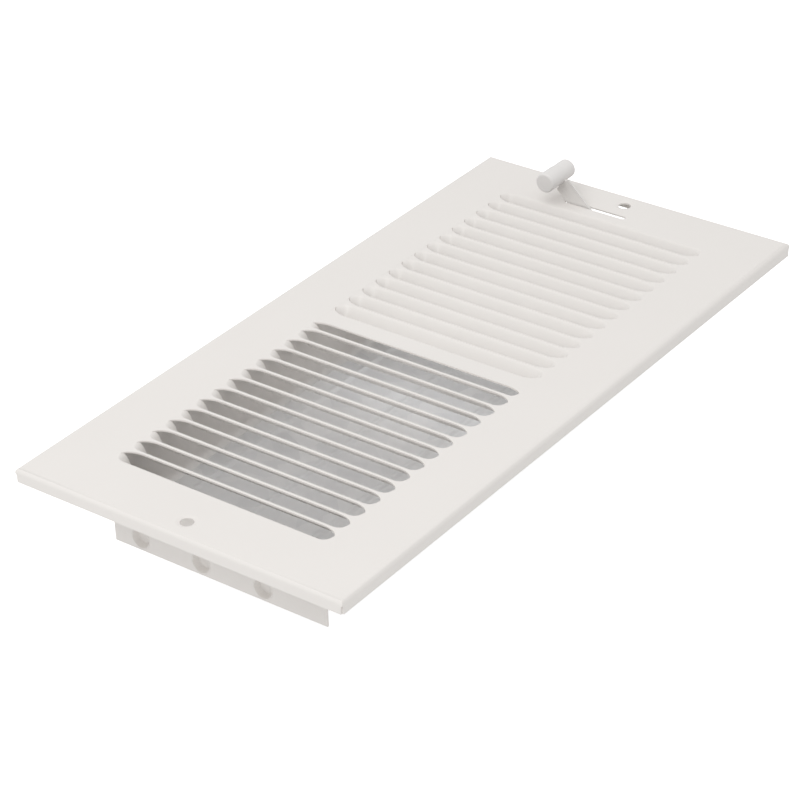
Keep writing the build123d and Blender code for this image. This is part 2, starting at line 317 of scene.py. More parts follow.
class Workshop:
    """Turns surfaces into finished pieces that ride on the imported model."""

    CREASE = math.radians(38.0)
    CUT_EDGE = math.radians(60.0)
    EDGE_STEPS = 2

    def __init__(self, finishes: dict[Slot, bpy.types.Material]) -> None:
        """Keep the material of each slot."""
        self.finishes = finishes

    def settle(self, thing: bpy.types.Object, fit: Fit) -> None:
        """Apply the piece's modifiers, shade it, dress it and seat it on its body.

        Args:
            thing: The piece with its modifiers.
            fit: Body, slot and node that it belongs to.
        """
        graph = bpy.context.evaluated_depsgraph_get()
        shape = bpy.data.meshes.new_from_object(thing.evaluated_get(graph))
        shape.name = thing.name
        thing.modifiers.clear()
        thing.data = shape
        shape.materials.clear()
        shape.materials.append(self.finishes[fit.slot])
        shape.polygons.foreach_set("use_smooth", [True] * len(shape.polygons))
        shape.set_sharp_from_angle(angle=self.CREASE)
        even = thing.modifiers.new("even_shading", "WEIGHTED_NORMAL")
        even.keep_sharp = True
        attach(thing, fit.body.value)
        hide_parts(fit.node)
        log.info("%s rides on %s, %d faces", thing.name, fit.body.value, len(shape.polygons))

    def pressed(
        self, name: str, surface: Surface, gauge: float, edge: float, fit: Fit, place: Matrix | None = None
    ) -> None:
        """Finish a surface as sheet metal of even thickness with softened cut edges.

        Args:
            name: Name of the piece.
            surface: Middle surface of the sheet.
            gauge: Sheet thickness in millimetres.
            edge: Width of the softened edge in millimetres.
            fit: Body, slot and node that it belongs to.
            place: Move from the drawing to its seat, in millimetres.
        """
        thing = add_object(name, surface.mesh(name, place))
        sheet = thing.modifiers.new("sheet", "SOLIDIFY")
        sheet.thickness = gauge * MM
        sheet.offset = 0.0
        sheet.use_even_offset = True
        soft = thing.modifiers.new("edge", "BEVEL")
        soft.width = edge * MM
        soft.segments = self.EDGE_STEPS
        soft.limit_method = "ANGLE"
        soft.angle_limit = self.CUT_EDGE
        soft.use_clamp_overlap = False
        self.settle(thing, fit)

    def turned(
        self,
        name: str,
        profile: Sequence[Flat],
        axes: Sequence[Flat],
        fit: Fit,
        steps: int = RING_STEPS,
        cutter: Surface | None = None,
    ) -> None:
        """Finish a piece that is round about one or more axes along X.

        Args:
            name: Name of the piece.
            profile: Points of (x, radius) from one end of the axis to the other.
            axes: Y and Z of each axis in millimetres.
            fit: Body, slot and node that it belongs to.
            steps: Number of steps round the axis.
            cutter: Closed surface of a recess to cut out, if it has one.
        """
        surface = Surface()
        for axis in axes:
            rows = []
            for x, radius in profile:
                rows.append([(x, y, z) for y, z in ring(axis, radius, steps)])
            surface.grid(rows, round_about=True)
        thing = add_object(name, surface.mesh(name))
        if cutter is None:
            self.settle(thing, fit)
            return
        tool = add_object(name + "_recess", cutter.mesh(name + "_recess"))
        cut = thing.modifiers.new("recess", "BOOLEAN")
        cut.object = tool
        cut.operation = "DIFFERENCE"
        self.settle(thing, fit)
        bpy.data.objects.remove(tool)


class Canvas:
    """Node tree with short ways to add and join nodes."""

    # Sockets of a Mix node go by number, because their names repeat.
    VALUES = (2, 3)
    COLOURS = (6, 7)
    MIXED_COLOUR = 2

    def __init__(self, tree: bpy.types.NodeTree) -> None:
        """Keep the node tree of a material or a group."""
        self.tree = tree

    def add(self, kind: str, values: dict[str, object] | None = None, **settings: object) -> bpy.types.Node:
        """Add a node.

        Args:
            kind: Node type without its ShaderNode prefix.
            values: Values of unlinked inputs, by name.
            settings: Properties of the node.

        Returns:
            The node.
        """
        prefix = "" if kind.startswith("Node") else "ShaderNode"
        node = self.tree.nodes.new(prefix + kind)
        for name, setting in settings.items():
            setattr(node, name, setting)
        for name, value in (values or {}).items():
            node.inputs[name].default_value = value
        return node

    def join(self, source: Socket, target: Socket) -> None:
        """Link an output to an input."""
        self.tree.links.new(source, target)

    def ramp(self, source: Socket, low: float, high: float) -> Socket:
        """Spread a 0 to 1 value over another range.

        Args:
            source: Value to spread.
            low: Result at 0.
            high: Result at 1.

        Returns:
            The spread value.
        """
        node = self.add("MapRange", {"To Min": low, "To Max": high})
        self.join(source, node.inputs["Value"])
        return node.outputs["Result"]

    def tint(self, mask: Socket, first: Colour, second: Colour) -> Socket:
        """Blend two colours by a mask.

        Args:
            mask: Share of the second colour.
            first: Colour where the mask is 0.
            second: Colour where the mask is 1.

        Returns:
            The blended colour.
        """
        node = self.add("Mix", data_type="RGBA")
        for number, colour in zip(self.COLOURS, (first, second)):
            node.inputs[number].default_value = colour
        self.join(mask, node.inputs["Factor"])
        return node.outputs[self.MIXED_COLOUR]

    def relief(self, height: Socket, depth: float, shader: bpy.types.Node) -> None:
        """Give a shader a fine relief.

        Args:
            height: Height from 0 to 1.
            depth: Depth of the relief in millimetres.
            shader: Shader that takes it.
        """
        node = self.add("Bump", {"Strength": 1.0, "Distance": depth * MM})
        self.join(height, node.inputs["Height"])
        self.join(node.outputs["Normal"], shader.inputs["Normal"])


def new_material(name: str, **values: object) -> tuple[bpy.types.Material, Canvas, bpy.types.Node]:
    """Start a material.

    Args:
        name: Name of the material.
        values: Values of its shader's inputs, with spaces as underscores.

    Returns:
        The material, its nodes and its shader.
    """
    material = bpy.data.materials.new(name)
    material.use_nodes = True
    shader = material.node_tree.nodes["Principled BSDF"]
    for label, value in values.items():
        shader.inputs[label.replace("_", " ")].default_value = value
    return material, Canvas(material.node_tree), shader


class Effect:
    """Surface effect kept as a shader node group and shared by the finishes."""

    def __init__(self, name: str, inputs: dict[str, float], outputs: Sequence[str]) -> None:
        """Make the group with its named sockets.

        Args:
            name: Name of the group.
            inputs: Float inputs and their usual values.
            outputs: Names of the float outputs.
        """
        self.group = bpy.data.node_groups.new(name, "ShaderNodeTree")
        sockets = self.group.interface
        for label, usual in inputs.items():
            socket = sockets.new_socket(name=label, in_out="INPUT", socket_type="NodeSocketFloat")
            socket.default_value = usual
        for label in outputs:
            sockets.new_socket(name=label, in_out="OUTPUT", socket_type="NodeSocketFloat")
        self.canvas = Canvas(self.group)
        self.given = self.canvas.add("NodeGroupInput")
        self.result = self.canvas.add("NodeGroupOutput")

    def noise(self, scale: str, detail: float, roughness: float) -> Socket:
        """Noise fixed to the piece.

        Args:
            scale: Name of the group input that holds its scale.
            detail: Number of finer layers.
            roughness: Strength of the finer layers.

        Returns:
            The noise value.
        """
        place = self.canvas.add("TexCoord")
        node = self.canvas.add("TexNoise", {"Detail": detail, "Roughness": roughness})
        self.canvas.join(place.outputs["Object"], node.inputs["Vector"])
        self.canvas.join(self.given.outputs[scale], node.inputs["Scale"])
        return node.outputs["Fac"]

    def use(self, canvas: Canvas, **values: float) -> bpy.types.Node:
        """Place the effect in a material.

        Args:
            canvas: The material's nodes.
            values: Values of the group's inputs, with spaces as underscores.

        Returns:
            The group node.
        """
        node = canvas.add("Group")
        node.node_tree = self.group
        for label, value in values.items():
            node.inputs[label.replace("_", " ")].default_value = value
        return node


class PaintSkin(Effect):
    """Fine orange peel of sprayed or moulded skins, with a slow drift of tone."""

    def __init__(self) -> None:
        """Make the group."""
        super().__init__("paint_skin", {"Peel Scale": 900.0, "Drift Scale": 18.0}, ("Height", "Drift"))
        self.canvas.join(self.noise("Peel Scale", detail=2.0, roughness=0.45), self.result.inputs["Height"])
        drift = self.noise("Drift Scale", detail=3.0, roughness=0.5)
        self.canvas.join(self.canvas.ramp(drift, low=-0.5, high=1.5), self.result.inputs["Drift"])


class HandlingMarks(Effect):
    """Faint cloudy patches that vary the gloss."""

    def __init__(self) -> None:
        """Make the group."""
        super().__init__("handling_marks", {"Patch Scale": 45.0}, ("Mask",))
        cloud = self.noise("Patch Scale", detail=4.0, roughness=0.6)
        spread = self.canvas.add("MapRange", {"From Min": 0.32, "From Max": 0.68})
        self.canvas.join(cloud, spread.inputs["Value"])
        self.canvas.join(spread.outputs["Result"], self.result.inputs["Mask"])


@dataclass(frozen=True)
class CoatFinish:
    """Painted, moulded or plated skin."""

    name: str
    light: Colour
    shade: Colour
    gloss: Flat
    peel_scale: float = 900.0
    peel_depth: float = 0.0
    drift_scale: float = 18.0
    patch_scale: float = 45.0
    metal: float = 0.0

    def build(self, skin: Effect, marks: Effect) -> bpy.types.Material:
        """Make the material.

        Args:
            skin: Orange peel effect.
            marks: Handling marks effect.

        Returns:
            The material.
        """
        material, canvas, shader = new_material(self.name, Metallic=self.metal)
        peel = skin.use(canvas, Peel_Scale=self.peel_scale, Drift_Scale=self.drift_scale)
        patches = marks.use(canvas, Patch_Scale=self.patch_scale)
        tone = canvas.tint(peel.outputs["Drift"], self.light, self.shade)
        canvas.join(tone, shader.inputs["Base Color"])
        canvas.join(canvas.ramp(patches.outputs["Mask"], *self.gloss), shader.inputs["Roughness"])
        if self.peel_depth > 0.0:
            canvas.relief(peel.outputs["Height"], self.peel_depth, shader)
        return material


@dataclass(frozen=True)
class GalvanisedFinish:
    """Dull zinc sheet with a faint spangle."""

    name: str = "galvanised_zinc"
    light: Colour = (0.93, 0.935, 0.94, 1.0)
    shade: Colour = (0.80, 0.81, 0.825, 1.0)
    crystal: float = 9.0
    grain: float = 420.0
    metal: float = 0.25
    gloss: Flat = (0.38, 0.56)
    grain_depth: float = 0.006
    patch_scale: float = 30.0
    patch_share: float = 0.35

    def build(self, marks: Effect) -> bpy.types.Material:
        """Make the material.

        Args:
            marks: Handling marks effect.

        Returns:
            The material.
        """
        material, canvas, shader = new_material(self.name, Metallic=self.metal)
        place = canvas.add("TexCoord")
        crystals = canvas.add("TexVoronoi", {"Scale": 1.0 / (self.crystal * MM), "Randomness": 1.0})
        canvas.join(place.outputs["Object"], crystals.inputs["Vector"])
        cell = canvas.add("SeparateColor")
        canvas.join(crystals.outputs["Color"], cell.inputs["Color"])
        grain = canvas.add("TexNoise", {"Scale": self.grain, "Detail": 3.0, "Roughness": 0.6})
        canvas.join(place.outputs["Object"], grain.inputs["Vector"])
        patches = marks.use(canvas, Patch_Scale=self.patch_scale)
        blend = canvas.add("Mix", {"Factor": self.patch_share}, data_type="FLOAT")
        for number, source in zip(canvas.VALUES, (cell.outputs["Red"], patches.outputs["Mask"])):
            canvas.join(source, blend.inputs[number])
        tone = canvas.tint(blend.outputs["Result"], self.shade, self.light)
        canvas.join(tone, shader.inputs["Base Color"])
        canvas.join(canvas.ramp(cell.outputs["Green"], *self.gloss), shader.inputs["Roughness"])
        canvas.relief(grain.outputs["Fac"], self.grain_depth, shader)
        return material


@dataclass
class FaceSheet:
    """Stamped face with its rim, two louvre fields, screw dimples and lever slot, all one sheet."""

    shop: Workshop
    length: float
    width: float
    sheet: float = 0.8
    rim_height: float = RIM_HEIGHT
    bend: float = 2.0
    corner_pull: float = 0.35
    screw_x: float = 141.0
    screw_hole: float = 2.6
    dimple_reach: float = 5.2
    dimple_slope: float = 1.6
    dimple_depth: float = 0.4
    louvre_pitch: float = 8.73
    louvre_count: int = 14
    first_hinge: float = 11.3
    web: float = 0.65
    band_plain: float = 5.43
    band_lever: float = 2.75
    window_end: float = 47.85
    cut_taper: float = 7.5
    flap_angle: float = 48.5
    flap_bend: float = 0.8
    flap_gap: float = 0.3
    flap_run: float = 4.8
    flap_haste: float = 2.0
    slot_x: float = 130.9
    slot_y: float = 8.0
    slot_reach: float = 14.497
    slot_half: float = 1.15
    edge: float = 0.1

    END_STEPS = 10
    TAPER_STEPS = 6
    SPAN_STEPS = 4
    FLAP_STEPS = 11
    DIMPLE_STEPS = 12
    SLOT_STEPS = 12
    RIM_STEPS = 8
    RIM_SHARES = (0.12, 0.35, 1.0)
    PULL_RATE = 3.0

    @property
    def level(self) -> float:
        """Height of the sheet's middle surface."""
        return -self.sheet / 2

    @property
    def flat(self) -> Flat:
        """Half length and half width of the face inside its bends."""
        return self.length / 2 - self.bend, self.width / 2 - self.bend

    def window_span(self, number: int, end: End) -> Flat:
        """Inner and outer edges of one window.

        Args:
            number: Place of the window, counted from the centre band.
            end: Half of the face that it is in.

        Returns:
            Distances of the two edges from the middle of the face.
        """
        hinge = self.first_hinge + self.louvre_pitch * number
        if number > 0:
            return hinge - self.louvre_pitch + self.web, hinge
        return (self.band_plain if end is End.PLAIN else self.band_lever), hinge

    def stations(self, radius: float) -> list[Flat]:
        """Places along a window, close together at its rounded ends.

        Args:
            radius: Radius of the ends.

        Returns:
            Pairs of (Y, width of the window's hinge side there) from one end to the other.
        """
        straight = self.window_end - radius
        taper = self.window_end - self.cut_taper
        ends = [(straight + y, half) for half, y in arc((0.0, 0.0), radius, 90.0, 0.0, self.END_STEPS)]
        ends += [(y, radius) for y in self.columns(straight, taper, self.TAPER_STEPS)[1:]]
        middle = [(y, radius) for y in self.columns(taper, -taper, self.SPAN_STEPS)[1:-1]]
        return [*ends, *middle, *[(-y, half) for y, half in reversed(ends)]]

    def bent(self, distance: float, turn: float) -> Flat:
        """Place on a flap's section.

        Args:
            distance: Distance from the hinge along the sheet.
            turn: Angle that the flap is bent down, in radians.

        Returns:
            How far the place lies across and below the hinge.
        """
        part = min(distance / self.flap_bend, turn)
        past = max(distance - self.flap_bend * turn, 0.0)
        run = self.flap_bend * math.sin(part) + past * math.cos(turn)
        drop = self.flap_bend * (1.0 - math.cos(part)) + past * math.sin(turn)
        return run, drop

    def add_louvre(self, surface: Surface, number: int, end: End) -> list[Flat]:
        """Add one flap, cut free along its inner edge and pressed down between ends that stay in the sheet.

        Args:
            surface: Sheet that takes the flap.
            number: Place of its window, counted from the centre band.
            end: Half of the face that it is in.

        Returns:
            Outline of the window in plan.
        """
        inner, hinge = self.window_span(number, end)
        radius = (hinge - inner) / 2
        rows = []
        hinge_side = []
        cut_side = []
        for y, half in self.stations(radius):
            share = early_share(self.window_end - abs(y), self.flap_run, self.flap_haste)
            root = hinge - radius + half
            past = max(abs(y) - self.window_end + self.cut_taper, 0.0) / self.cut_taper
            width = half + radius * math.sqrt(max(1.0 - past**2, 0.0))
            reach = max(width - self.flap_gap * share, 0.0)
            row = []
            for part in self.columns(0.0, 1.0, self.FLAP_STEPS):
                run, drop = self.bent(reach * part**2, math.radians(self.flap_angle) * share)
                row.append((end.value * (root - run), y, self.level - drop))
            rows.append(row)
            hinge_side.append((end.value * root, y))
            cut_side.append((end.value * (root - width), y))
        surface.grid(rows)
        return [*hinge_side, *reversed(cut_side[1:-1])]

    def columns(self, low: float, high: float, steps: int) -> list[float]:
        """Evenly spaced values, both ends included."""
        return [low + (high - low) * i / steps for i in range(steps + 1)]

    def add_dimple(self, surface: Surface, x: float) -> list[Flat]:
        """Add the pressing round one screw hole.

        Args:
            surface: Sheet that takes it.
            x: Place of the hole.

        Returns:
            Outer loop of the pressing in plan.
        """
        rows = []
        foot = self.screw_hole + self.dimple_slope
        for radius in self.columns(self.dimple_reach, self.screw_hole, self.DIMPLE_STEPS):
            z = self.level - self.dimple_depth * smooth_share(foot - radius, self.dimple_slope)
            rows.append([(px, py, z) for px, py in ring((x, 0.0), radius, RING_STEPS)])
        surface.grid(rows, round_about=True)
        return [(px, py) for px, py, _ in rows[0]]

    def slot_loop(self) -> list[Flat]:
        """Outline of the lever slot."""
        straight = self.slot_reach - self.slot_half
        upper = arc((self.slot_x, self.slot_y + straight), self.slot_half, 0.0, 180.0, self.SLOT_STEPS)
        lower = arc((self.slot_x, self.slot_y - straight), self.slot_half, 180.0, 360.0, self.SLOT_STEPS)
        return upper + lower

    def add_rim(self, surface: Surface) -> None:
        """Add the four turned-down sides, which stay open at the corners below the bend.

        Args:
            surface: Sheet that takes them.
        """
        radius = self.bend - self.sheet / 2
        bend = arc((0.0, 0.0), radius, 90.0, 0.0, self.RIM_STEPS)
        profile = [(d, self.level - radius + z, 0.0) for d, z in bend]
        straight_top = self.level - radius
        for share in self.RIM_SHARES:
            z = straight_top + (-self.rim_height - straight_top) * share
            pull = self.corner_pull * min(share * self.PULL_RATE, 1.0)
            profile.append((radius, z, pull))
        flat_x, flat_y = self.flat
        for sign in (-1, 1):
            along_x = []
            along_y = []
            for out, z, pull in profile:
                reach_x = flat_x + out - pull
                reach_y = flat_y + out - pull
                along_x.append([(-reach_x, sign * (flat_y + out), z), (reach_x, sign * (flat_y + out), z)])
                along_y.append([(sign * (flat_x + out), -reach_y, z), (sign * (flat_x + out), reach_y, z)])
            surface.grid(along_x)
            surface.grid(along_y)

    def build(self) -> None:
        """Make the face."""
        surface = Surface()
        holes = [self.slot_loop()]
        for end in End:
            holes += [self.add_louvre(surface, number, end) for number in range(self.louvre_count)]
            holes.append(self.add_dimple(surface, end.value * self.screw_x))
        flat_x, flat_y = self.flat
        outline = [(-flat_x, -flat_y), (flat_x, -flat_y), (flat_x, flat_y), (-flat_x, flat_y)]
        surface.region(outline, holes, lambda p: (p[0], p[1], self.level))
        self.add_rim(surface)
        fit = Fit(Body.FRAME, Slot.ENAMEL, "face_plate")
        self.shop.pressed("face_sheet", surface, self.sheet, self.edge, fit)


@dataclass(kw_only=True)
class DamperSizes:
    """Workshop and sizes that the damper's frame, blades and linkage share."""

    shop: Workshop
    blade_depth: float = 29.0
    plate_inner: float = 126.0
    plate_outer: float = 126.8
    lever_y: float = 8.0
    lever_depth: float = 8.3
    crank: float = 8.5
    link_inner: float = 128.2
    link_outer: float = 129.0
    side_play: float = 0.3
    rivet_shank: float = 2.0
    pin_radius: float = 1.6
    pin_shoulder: float = 2.2
    pin_head: float = 2.8
    pin_height: float = 0.6
    pin_round: float = 0.12
    dome_start: float = 0.5
    dome_top: float = 0.55


@dataclass(kw_only=True)
class DamperFrame(DamperSizes):
    """End plates and side rails that hang behind the face and carry the blades."""

    pivots: Sequence[float]
    sheet: float = 0.8
    half_width: float = 48.3
    plate_bottom: float = 34.0
    flange_end: float = 134.3
    flange_bend: float = 1.2
    cup_reach: float = 4.35
    cup_bead: float = 0.1
    cup_mouth: float = 3.9
    cup_floor: float = 2.9
    cup_skin: float = 0.35
    cup_round: float = 0.3
    boss_radius: float = 3.6
    boss_height: float = 2.0
    boss_round: float = 0.4
    notch_reach: float = 17.497
    rail_sheet: float = 0.6
    rail_bottom: float = 30.0
    rail_flange: float = 7.5
    rail_bend: float = 1.0
    rail_corner: float = 10.0
    edge: float = 0.1

    def build_cups(self, end: End) -> None:
        """Make the pressed pivots of one end plate, hollow outside and with a boss inside.

        Args:
            end: End of the register.
        """
        inner = self.plate_inner
        outer = inner + self.sheet
        top = inner - self.boss_height
        profile = [
            (top, 0.0),
            (top, self.boss_radius - self.boss_round),
            (top + self.boss_round, self.boss_radius),
            (inner, self.boss_radius),
            (inner, self.cup_reach),
            (outer, self.cup_reach),
            (outer + self.cup_bead, (self.cup_reach + self.cup_mouth) / 2),
            (outer, self.cup_mouth),
            (top + self.cup_skin, self.cup_floor),
            (top + self.cup_skin, 0.0),
        ]
        profile = [(end.value * x, radius) for x, radius in softened(profile, self.cup_round)]
        axes = [(y, -self.blade_depth) for y in self.pivots]
        label = end.name.lower()
        fit = Fit(Body.FRAME, Slot.ENAMEL, "end_plate_" + label)
        self.shop.turned("pivot_cups_" + label, profile, axes, fit)

    def build_plate(self, end: End) -> None:
        """Make one end plate.

        Args:
            end: End of the register.
        """
        surface = Surface()
        middle = self.plate_inner + self.sheet / 2
        top = -self.sheet - self.sheet / 2
        shoulder = top - self.flange_bend
        bend = arc((middle + self.flange_bend, shoulder), self.flange_bend, 90.0, 180.0, BEND_STEPS)
        profile = [(self.flange_end, top), *bend]
        spans = [(-self.half_width, self.half_width)]
        upper = []
        holes = []
        if end is End.LEVER:
            low = self.lever_y - self.notch_reach
            high = self.lever_y + self.notch_reach
            spans = [(-self.half_width, low), (high, self.half_width)]
            upper = [(low, shoulder), (low, -self.sheet), (high, -self.sheet), (high, shoulder)]
            holes.append(ring((self.lever_y, -self.lever_depth), self.rivet_shank, RING_STEPS))
        for y0, y1 in spans:
            surface.grid([[(end.value * x, y0, z), (end.value * x, y1, z)] for x, z in profile])
        for y in self.pivots:
            holes.append(ring((y, -self.blade_depth), self.cup_reach, RING_STEPS))
        outline = [(-self.half_width, shoulder), *upper, (self.half_width, shoulder)]
        outline += [(self.half_width, -self.plate_bottom), (-self.half_width, -self.plate_bottom)]
        surface.region(outline, holes, lambda p: (end.value * middle, p[0], p[1]))
        label = end.name.lower()
        fit = Fit(Body.FRAME, Slot.ENAMEL, "end_plate_" + label)
        self.shop.pressed("end_sheet_" + label, surface, self.sheet, self.edge, fit)

    def build_rail(self, side: Side) -> None:
        """Make one side rail, cut back at its lower corners.

        Args:
            side: Long side that it is on.
        """
        wall = self.half_width - self.rail_sheet / 2
        top = -self.sheet - self.rail_sheet / 2
        curl = self.rail_bend
        bend = arc((wall + curl, top - curl), curl, 90.0, 180.0, BEND_STEPS)
        square = self.rail_corner - self.rail_bottom
        profile = [(self.half_width + self.rail_flange, top), *bend, (wall, square)]
        ends = [(self.plate_inner, y, z) for y, z in profile]
        ends.append((self.plate_inner - self.rail_corner, wall, -self.rail_bottom))
        surface = Surface()
        surface.grid([[(-x, side.value * y, z), (x, side.value * y, z)] for x, y, z in ends])
        label = side.name.lower()
        fit = Fit(Body.FRAME, Slot.ENAMEL, "side_rail_" + label)
        self.shop.pressed("rail_sheet_" + label, surface, self.rail_sheet, self.edge, fit)

    def build(self) -> None:
        """Make both end plates and both rails."""
        for end in End:
            self.build_plate(end)
            self.build_cups(end)
        for side in Side:
            self.build_rail(side)


@dataclass(kw_only=True)
class DamperBlade(DamperSizes):
    """One galvanised blade with its bead, end eyes and crank ear, and the rivet in the ear."""

    name: str
    body: Body
    pivot: float
    sheet: float = 0.5
    lift: float = 4.65
    wide: float = 26.4
    narrow: float = 8.6
    tilt: float = 2.2
    half_length: float = 123.6
    bead_half: float = 2.0
    bead_height: float = 0.6
    bead_end: float = 14.0
    bead_fade: float = 3.0
    eye_x: float = 125.15
    eye_radius: float = 5.6
    eye_hole: float = 3.68
    eye_bend: float = 0.8
    ear_radius: float = 3.4
    edge: float = 0.06

    BEAD_STEPS = 12
    FADE_STEPS = 6
    EYE_STEPS = 32
    NECK_STEPS = 3
    CRANK_TURN = -135.0

    @property
    def lean(self) -> float:
        """Direction from the pivot to the crank pin in the tilted blade's own frame, in degrees."""
        return self.CRANK_TURN - self.tilt

    @property
    def bead_reach(self) -> float:
        """How far the bead runs each way from the blade's middle."""
        return self.half_length - self.bead_end

    def stations(self) -> list[float]:
        """Places along the blade, close together where the bead fades out."""
        steps = self.FADE_STEPS
        fade = [self.bead_reach - self.bead_fade * i / steps for i in range(steps + 1)]
        return [-self.half_length, *[-x for x in fade], *reversed(fade), self.half_length]

    def across(self) -> list[float]:
        """Places across the blade, close together at the bead."""
        step = 2 * self.bead_half / self.BEAD_STEPS
        bead = [-self.bead_half + step * i for i in range(self.BEAD_STEPS + 1)]
        return [-self.wide, -self.eye_radius, *bead, self.eye_radius, self.narrow]

    def tab(self) -> list[float]:
        """Places across an end tab."""
        return [y for y in self.across() if abs(y) <= self.eye_radius]

    def height(self, x: float, y: float) -> float:
        """Height of the middle surface over the pivot axis."""
        fade = smooth_share(self.bead_reach - abs(x), self.bead_fade)
        return self.lift + self.bead_height * fade * smooth_share(self.bead_half - abs(y), self.bead_half)

    def crank_place(self) -> Flat:
        """Place of the crank pin in the tilted blade's own frame."""
        lean = math.radians(self.lean)
        reach = self.crank * math.sqrt(2.0)
        return (reach * math.cos(lean), reach * math.sin(lean))

    def eye_outline(self, end: End) -> list[Flat]:
        """Outline of an end eye below its bend, with the crank ear at the lever end.

        Args:
            end: End of the register.

        Returns:
            The outline as (Y, Z) about the pivot, in the tilted blade's own frame.
        """
        outline = [(y, self.lift - self.eye_bend) for y in self.tab()]
        pivot = (0.0, 0.0)
        if end is End.PLAIN:
            return outline + arc(pivot, self.eye_radius, 0.0, -180.0, self.EYE_STEPS)
        lean = self.lean
        spread = math.degrees(math.asin(self.ear_radius / self.eye_radius))
        outline += arc(pivot, self.eye_radius, 0.0, lean + spread, HALF_STEPS)
        outline += arc(self.crank_place(), self.ear_radius, lean + 90.0, lean - 90.0, HALF_STEPS)
        outline += arc(pivot, self.eye_radius, lean - spread, -180.0, self.NECK_STEPS)
        return outline

    def add_eye(self, surface: Surface, end: End) -> None:
        """Add an end tab, its bend and the eye that runs on the pressed pivot.

        Args:
            surface: Blade that takes it.
            end: End of the register.
        """
        curl = self.eye_bend
        bend = arc((self.eye_x - curl, self.lift - curl), curl, 90.0, 0.0, BEND_STEPS)
        profile = [(self.half_length, self.lift), *bend]
        surface.grid([[(end.value * x, y, z) for y in self.tab()] for x, z in profile])
        holes = [ring((0.0, 0.0), self.eye_hole, HOLE_STEPS)]
        if end is End.LEVER:
            holes.append(ring(self.crank_place(), self.pin_radius, PIN_STEPS))
        surface.region(self.eye_outline(end), holes, lambda p: (end.value * self.eye_x, p[0], p[1]))

    def build(self) -> None:
        """Make the blade and its crank rivet."""
        surface = Surface()
        surface.grid([[(x, y, self.height(x, y)) for y in self.across()] for x in self.stations()])
        for end in End:
            self.add_eye(surface, end)
        tilt = Matrix.Rotation(math.radians(self.tilt), 4, "X")
        place = Matrix.Translation((0, self.pivot, -self.blade_depth)) @ tilt
        fit = Fit(self.body, Slot.GALVANISED, "blade_" + self.name)
        self.shop.pressed("damper_blade_" + self.name, surface, self.sheet, self.edge, fit, place)
        ear = self.eye_x - self.sheet / 2
        head = self.link_outer + self.side_play
        top = head + self.pin_height
        parts = [
            (ear + self.sheet, self.pin_radius),
            (self.link_inner - self.side_play, self.pin_shoulder),
            (head, self.pin_radius),
            (head + self.pin_height * self.dome_start, self.pin_head),
        ]
        profile = [(ear, 0.0), *stepped(ear, parts), (top, self.pin_head * self.dome_top), (top, 0.0)]
        axis = (self.pivot - self.crank, -self.blade_depth - self.crank)
        fit = Fit(self.body, Slot.RIVET, "blade_pin_" + self.name)
        self.shop.turned("crank_rivet_" + self.name, softened(profile, self.pin_round), [axis], fit)


